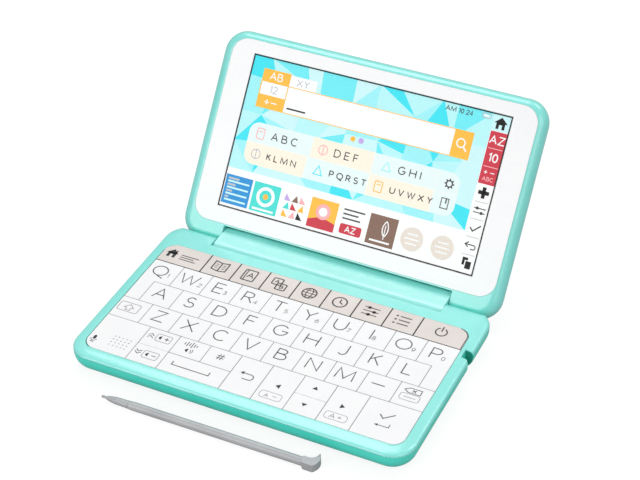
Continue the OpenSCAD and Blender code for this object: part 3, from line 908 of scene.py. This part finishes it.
class Page(Sheet):
    """A sheet on the display, drawn in layers of even thickness."""

    def __init__(self, name):
        super().__init__(name, on_screen, PAGE_PAINTS, "lid", "screen_glass")

    def patch(self, outline, layer, tone):
        self.plate(outline, PAGE_FOOT, LAYER * layer, tone)

    def box(self, x0, x1, y0, y1, layer, tone):
        self.patch(block(x0, x1, y0, y1), layer, tone)

    def trace(self, points, width, layer, tone, closed=False):
        self.stroke(points, width, PAGE_FOOT, LAYER * layer, tone, closed)

    def text(self, words, x, y, height, width, layer, tone):
        write(self, words, x, y, height, width, PAGE_FOOT, LAYER * layer, tone)

    def text_mid(self, words, x, y, height, width, layer, tone):
        """Text with its middle at x, y."""
        left = x - extent(words) * height / (2 * TALL)
        self.text(words, left, y - height / 2, height, width, layer, tone)


ACROSS, UP = 9, 4
SHIFT = 0.33
SEED = 11


def wallpaper_spots(chance):
    """A grid of points over the wallpaper. Those inside it are shifted at random."""
    wide = (COLUMN - GLASS_LEFT) / ACROSS
    tall = (GLASS_TOP - STRIP_TOP) / UP
    spots = {}
    for i in range(ACROSS + 1):
        for k in range(UP + 1):
            x = GLASS_LEFT + i * wide
            y = STRIP_TOP + k * tall
            if 0 < i < ACROSS:
                x += wide * chance.uniform(-SHIFT, SHIFT)
            if 0 < k < UP:
                y += tall * chance.uniform(-SHIFT, SHIFT)
            spots[i, k] = (x, y)
    return spots


def draw_wallpaper():
    """A field of faceted triangles in close pale tones."""
    page = Page("screen_wallpaper")
    chance = random.Random(SEED)
    spots = wallpaper_spots(chance)
    for i in range(ACROSS):
        for k in range(UP):
            a, b, c, d = spots[i, k], spots[i + 1, k], spots[i + 1, k + 1], spots[i, k + 1]
            halves = ((a, b, c), (a, c, d)) if (i + k) % 2 else ((a, b, d), (b, c, d))
            for half in halves:
                page.patch(list(half), 1, chance.choice(SKY))
    page.build()


def draw_search():
    """The entry field with its tabs and button, and the status line above."""
    page = Page("screen_search")
    page.box(-35.2, 33.3, 47, 57.3, 2, PAGE)
    page.box(-46.8, -35.2, 47, 62, 2, ORANGE)
    page.box(-46.4, -35.6, 52.1, 57.0, 3, PAGE)
    page.box(-35.2, -24.1, 57.3, 61.6, 2, PAGE)
    page.box(33.3, 40.7, 47, 57.3, 2, ORANGE)
    page.trace(block(-46.7, 40.6, 47.1, 57.2), 0.3, 4, ORANGE, True)
    page.text_mid("AB", -41, 59.6, 2.6, 0.42, 4, PAGE)
    page.text_mid("12", -41, 54.5, 2.6, 0.34, 4, MIST)
    page.text_mid("+-", -41, 49.5, 2.6, 0.42, 4, PAGE)
    page.text_mid("XY", -29.7, 59.4, 2.4, 0.3, 4, MIST)
    page.trace(disc(36.6, 52.6, 1.6, 18), 0.5, 4, PAGE, True)
    page.trace([(37.8, 51.4), (39.2, 49.9)], 0.6, 4, PAGE)
    page.trace([(-34.0, 49), (-26.1, 49)], 0.6, 4, NIGHT)
    page.text("AM 10 24", 27.7, 63.3, 1.6, 0.3, 4, TYPE)
    page.trace(block(41.9, 45.2, 63.8, 65.4), 0.3, 4, MIST, True)
    page.box(42.4, 44.4, 64.2, 65.0, 4, PAGE)
    page.patch(disc(-4.8, 44.1, 1.0, 16), 3, ORANGE)
    page.patch(disc(-1.4, 44.1, 1.1, 16), 3, LILAC)
    page.build()


def menu_sign(page, x, y, kind, tone):
    """A small outline sign at the head of a menu field."""
    if kind == 0:
        page.trace(rounded(x - 1.5, x + 1.5, y - 2, y + 2, 0.4, 3), 0.36, 5, tone, True)
        page.trace([(x - 0.8, y + 0.8), (x + 0.8, y + 0.8)], 0.36, 5, tone)
    elif kind == 1:
        page.trace(disc(x, y, 1.8, 18), 0.36, 5, tone, True)
        page.trace([(x, y - 1.8), (x, y + 1.8)], 0.36, 5, tone)
    else:
        page.trace([(x - 1.8, y - 1.6), (x, y + 1.8), (x + 1.8, y - 1.6)], 0.36, 5, tone, True)


def gear_sign(page, x, y):
    page.trace(disc(x, y, 1.2, 14), 0.5, 5, TYPE, True)
    for k in range(8):
        turn = math.radians(45 * k)
        a, b = math.cos(turn), math.sin(turn)
        page.trace([(x + 1.3 * a, y + 1.3 * b), (x + 1.95 * a, y + 1.95 * b)], 0.5, 5, TYPE)


# Rows of the menu: middle height, height of the letters, kind of the first sign, and the fields.
MENU_ROWS = (
    (37.2, 2.7, 0, ((-41.8, PINK, "A B C"), (-15.3, PINK, "D E F"), (11, SKY[1], "G H I"))),
    (29.2, 2.2, 1, ((-41.8, MIST, "K L M N"), (-15.3, SKY[3], "P Q R S T"),
                    (9.6, ORANGE, "U V W X Y"))),
)


def draw_menu():
    """Two rows of pale fields with rounded ends."""
    page = Page("screen_menu")
    left, right, low, mid, top, bend = -46.7, 40.3, 25.0, 33.3, 41.3, 4.0
    rim = rounded(left, right, low, top, bend, 6)
    page.patch(rim, 2, MILK)
    page.box(-20, 5.3, mid, top - 0.02, 3, CREAM)
    lower_left = [(-21, mid), (left + 0.02, mid), (left + 0.02, low + bend)]
    lower_left += bow(left + bend, low + bend, bend - 0.02, bend - 0.02, 180, 270, 6)
    lower_left += [(-21, low + 0.02)]
    page.patch(lower_left, 3, CREAM)
    page.box(5, 31, low + 0.02, mid, 3, CREAM)
    page.trace([(left, mid), (right, mid)], 0.16, 4, PAGE)
    for x in (-20.4, 5.2, 31):
        page.trace([(x, low), (x, top)], 0.16, 4, PAGE)
    for y, height, first, fields in MENU_ROWS:
        for i, (x, tone, text) in enumerate(fields):
            menu_sign(page, x, y, (first + i) % 3, tone)
            page.text(text, x + 4.8, y - height / 2, height, 0.4, 5, TYPE)
    gear_sign(page, 36.2, 37)
    page.trace(block(34.8, 37.6, 27.7, 31.5), 0.34, 5, TYPE, True)
    page.trace([(36.6, 31.5), (36.6, 29.6)], 0.5, 5, TYPE)
    page.build()


# Size, step and foot line of the small pictures in mm.
TILE, TILE_STEP, TILE_LOW = 11.3, 12.2, 7.9


def tile_ground(page, x, y, tone):
    page.box(x, x + TILE, y, y + TILE, 2, tone)


def tile_bars(page, x, y):
    tile_ground(page, x, y, BLUE)
    for k in range(4):
        page.box(x + 1.1, x + TILE - 1.1, y + 1.2 + 2.4 * k, y + 1.9 + 2.4 * k, 3, SKY[0])
        page.box(x + 1.1, x + 2.6 + k, y + 2.3 + 2.4 * k, y + 3.1 + 2.4 * k, 3, MIST)


def tile_ring(page, x, y):
    mid = TILE / 2
    tile_ground(page, x, y, TEAL)
    page.trace(disc(x + mid, y + mid + 0.6, 3.2, 24), 1.3, 3, PAGE, True)
    page.patch(disc(x + mid, y + mid + 0.6, 1.1, 16), 3, ORANGE)
    page.box(x + 1.2, x + TILE - 1.2, y + 0.7, y + 1.5, 3, PAGE)


def tile_quilt(page, x, y):
    tile_ground(page, x, y, PAGE)
    tones = (ORANGE, PINK, NIGHT, TEAL, RED, ORANGE, LILAC, BROWN, PINK)
    for k, tone in enumerate(tones):
        a = x + 1.2 + 3.1 * (k % 3)
        b = y + 1.0 + 3.1 * (k // 3)
        page.patch([(a, b), (a + 2.7, b), (a + 1.35 * (k % 2 + 0.3), b + 2.7)], 3, tone)


def tile_sun(page, x, y):
    mid = TILE / 2
    tile_ground(page, x, y, ORANGE)
    page.patch([(x, y), (x + TILE, y), (x + TILE, y + 3.1), (x + 5.2, y + 4.6), (x, y + 2.8)], 3, RED)
    page.patch(disc(x + mid, y + 6.6, 3.0, 24), 4, PINK)
    page.patch(disc(x + mid, y + 6.6, 1.7, 20), 5, PAGE)


def tile_label(page, x, y):
    tile_ground(page, x, y, PAGE)
    for k, reach in enumerate((8.6, 6.2, 7.4)):
        page.trace([(x + 1.4, y + 10 - 1.7 * k), (x + 1.4 + reach, y + 10 - 1.7 * k)], 0.6, 3, TYPE)
    page.patch(rounded(x + 1.2, x + TILE - 1.2, y + 0.8, y + 4.6, 0.8, 3), 3, RED)
    page.text_mid("AZ", x + TILE / 2, y + 2.7, 2.0, 0.4, 4, PAGE)


def tile_leaf(page, x, y):
    mid = TILE / 2
    tile_ground(page, x, y, BROWN)
    leaf = bow(x + mid - 2, y + 6.6, 4.4, 4.4, -42, 42, 8)
    leaf += bow(x + mid + 4.5, y + 6.6, 4.4, 4.4, 138, 222, 8)
    page.trace(leaf, 0.42, 3, PAGE, True)
    page.trace([(x + mid + 1.2, y + 2.6), (x + mid + 1.2, y + 8)], 0.36, 3, PAGE)
    page.box(x + 1.6, x + TILE - 1.6, y + 1.2, y + 1.9, 3, PAGE)


def tile_round(page, x, y):
    mid = TILE / 2
    page.patch(disc(x + mid, y + mid, 4.5, 28), 2, SAND)
    for k, reach in enumerate((2.1, 2.9, 2.3)):
        height = y + mid + 1.8 - 1.8 * k
        page.trace([(x + mid - reach, height), (x + mid + reach, height)], 0.5, 3, PAGE)


def draw_tiles():
    """The white strip with its row of pictures."""
    page = Page("screen_tiles")
    page.box(GLASS_LEFT, COLUMN, GLASS_LOW, STRIP_TOP, 1, PAGE)
    tiles = (tile_bars, tile_ring, tile_quilt, tile_sun, tile_label, tile_leaf, tile_round, tile_round)
    for i, tile in enumerate(tiles):
        tile(page, GLASS_LEFT + 0.8 + TILE_STEP * i, TILE_LOW)
    page.build()


def column_house(page, x, y, h):
    page.patch([(x - h - 0.4, y), (x, y + h), (x + h + 0.4, y)], 3, NIGHT)
    page.box(x - 1.7, x - 0.6, y - h, y + 0.2, 3, NIGHT)
    page.box(x + 0.6, x + 1.7, y - h, y + 0.2, 3, NIGHT)
    page.box(x - 0.6, x + 0.6, y - 0.6, y + 0.2, 3, NIGHT)


def column_red_keys(page):
    """Three touch keys on one red field."""
    page.box(COLUMN + 0.2, GLASS_RIGHT - 0.3, 40.2, 59.8, 2, RED)
    for y in (53.5, 46.7):
        page.trace([(COLUMN + 0.7, y), (GLASS_RIGHT - 0.8, y)], 0.3, 3, PINK)
    page.text_mid("AZ", 49.8, 56.7, 2.7, 0.46, 3, PAGE)
    page.text_mid("10", 49.8, 50.2, 2.9, 0.5, 3, PAGE)
    page.text_mid("+ -", 49.8, 44.6, 1.7, 0.3, 3, PAGE)
    page.text_mid("ABC", 49.8, 42.2, 1.3, 0.26, 3, PINK)


def column_white_keys(page):
    """A plus, sliders, a tick, an arrow that turns back and two sheets, with lines between them."""
    page.box(49.0, 50.4, 34.9, 39.1, 3, NIGHT)
    page.box(47.6, 51.8, 36.3, 37.7, 3, NIGHT)
    for y in (33.5, 27.0, 20.3, 13.7):
        page.trace([(47.3, y), (52.3, y)], 0.26, 3, MIST)
    for k, knob in ((0.9, -1.0), (-0.7, 0.9)):
        page.trace([(47.5, 30.2 + k), (52.1, 30.2 + k)], 0.36, 3, TYPE)
        page.patch(disc(49.8 + knob, 30.2 + k, 0.6, 12), 3, TYPE)
    page.trace([(47.9, 23.7), (49.2, 22.5), (51.9, 25.0)], 0.5, 3, TYPE)
    page.trace([(49, 18.4), (47.7, 17.4), (49, 16.4)], 0.4, 3, TYPE)
    tail = [(47.7, 17.4), (51, 17.4)] + bow(51, 16.6, 0.8, 0.8, 90, -90, 6) + [(50, 15.8)]
    page.trace(tail, 0.4, 3, TYPE)
    page.box(48.2, 50.3, 9.7, 12.6, 3, NIGHT)
    page.box(49.2, 52.0, 8.4, 11.6, 4, PAGE)
    page.box(49.6, 51.8, 8.5, 11.3, 5, NIGHT)


def draw_column():
    """The column of touch keys down the right side."""
    page = Page("screen_column")
    head = 60.0
    page.box(COLUMN, GLASS_RIGHT, GLASS_LOW, head, 1, PAGE)
    page.box(COLUMN, GLASS_RIGHT, head, GLASS_TOP, 1, SKY[0])
    column_house(page, 49.5, 63.0, 2.2)
    column_red_keys(page)
    column_white_keys(page)
    page.build()


def draw_border():
    """The thin black line round the lit area."""
    page = Page("screen_border")
    inset = 0.26
    loop = block(GLASS_LEFT + inset, GLASS_RIGHT - inset, GLASS_LOW + inset, GLASS_TOP - inset)
    page.trace(loop, 0.42, 11, NIGHT, True)
    page.build()


draw_wallpaper()
draw_search()
draw_menu()
draw_tiles()
draw_column()
draw_border()


# ------------------------------ camera, floor and light

# The camera that the photograph was taken with, in deck coordinates and degrees.
CAM_AT = (222.21, -436.63, 412.6)
CAM_TURN, CAM_DOWN, CAM_ROLL = 26.213, 38.043, -1.023
CAM_LENS = 98.28
SENSOR = 36.0
CAM_NEAR = 0.01


def make_camera():
    turn, down, roll = (math.radians(a) for a in (CAM_TURN, CAM_DOWN, CAM_ROLL))
    level = math.cos(down)
    ahead = Vector((-math.sin(turn) * level, math.cos(turn) * level, -math.sin(down)))
    right = Vector((math.cos(turn), math.sin(turn), 0))
    above = right.cross(ahead)
    rolled_right = right * math.cos(roll) + above * math.sin(roll)
    rolled_above = above * math.cos(roll) - right * math.sin(roll)
    data = bpy.data.cameras.new("camera")
    data.lens = CAM_LENS
    data.sensor_width = SENSOR
    data.clip_start = CAM_NEAR
    camera = bpy.data.objects.new("camera", data)
    turned = Matrix((rolled_right, rolled_above, -ahead)).transposed().to_4x4()
    camera.matrix_world = Matrix.Translation(on_deck(*CAM_AT)) @ turned
    bpy.context.scene.collection.objects.link(camera)
    bpy.context.scene.camera = camera


# Floor: grey to the object above it, nearly white with a faint shadow to the camera.
FLOOR_HALF = 4.0
FLOOR_ALBEDO = 0.45
FLOOR_GLOW = 0.84
FLOOR_SHADE = 0.22


def grey_diffuse(tree, value):
    made = tree.nodes.new("ShaderNodeBsdfDiffuse")
    made.inputs["Color"].default_value = (value, value, value, 1)
    return made.outputs[0]


def floor_paint():
    mat = bpy.data.materials.new("floor")
    mat.use_nodes = True
    tree = mat.node_tree
    tree.nodes.remove(tree.nodes["Principled BSDF"])
    path = tree.nodes.new("ShaderNodeLightPath")
    glow = tree.nodes.new("ShaderNodeEmission")
    glow.inputs["Strength"].default_value = FLOOR_GLOW
    both = tree.nodes.new("ShaderNodeAddShader")
    pick = tree.nodes.new("ShaderNodeMixShader")
    tree.links.new(grey_diffuse(tree, FLOOR_SHADE), both.inputs[0])
    tree.links.new(glow.outputs[0], both.inputs[1])
    tree.links.new(path.outputs["Is Camera Ray"], pick.inputs["Fac"])
    tree.links.new(grey_diffuse(tree, FLOOR_ALBEDO), pick.inputs[1])
    tree.links.new(both.outputs[0], pick.inputs[2])
    tree.links.new(pick.outputs[0], tree.nodes["Material Output"].inputs["Surface"])
    return mat


def make_floor():
    size = FLOOR_HALF
    mesh = bpy.data.meshes.new("floor")
    corners = [(-size, -size, 0), (size, -size, 0), (size, size, 0), (-size, size, 0)]
    mesh.from_pydata(corners, [], [(0, 1, 2, 3)])
    floor = bpy.data.objects.new("floor", mesh)
    bpy.context.scene.collection.objects.link(floor)
    floor.data.materials.append(floor_paint())


# Lamps: name, place and aim in metres, size in metres and power in watts.
LAMPS = (
    ("key_light", (-0.33, 0.46, 0.95), (0, 0, 0.02), 0.45, 2.8),
    ("front_light", (-0.48, -0.96, 0.55), (0, 0, 0.03), 0.7, 4.55),
    ("right_light", (0.85, -0.45, 0.75), (0, 0, 0.03), 0.8, 3.3),
    ("back_light", (0.30, 0.62, 0.85), (0, 0, 0.02), 0.4, 2.0),
)
WORLD_LIGHT = 0.46


def area_light(name, at, aim, size, power):
    data = bpy.data.lights.new(name, "AREA")
    data.shape = "SQUARE"
    data.size = size
    data.energy = power
    lamp = bpy.data.objects.new(name, data)
    lamp.location = at
    lamp.rotation_euler = (Vector(aim) - Vector(at)).to_track_quat("-Z", "Y").to_euler()
    bpy.context.scene.collection.objects.link(lamp)


def make_world():
    world = bpy.data.worlds.new("studio")
    world.use_nodes = True
    background = world.node_tree.nodes["Background"]
    background.inputs["Color"].default_value = (1, 1, 1, 1)
    background.inputs["Strength"].default_value = WORLD_LIGHT
    bpy.context.scene.world = world


make_camera()
make_floor()
make_world()
for lamp_values in LAMPS:
    area_light(*lamp_values)
bpy.context.scene.view_settings.view_transform = "Standard"
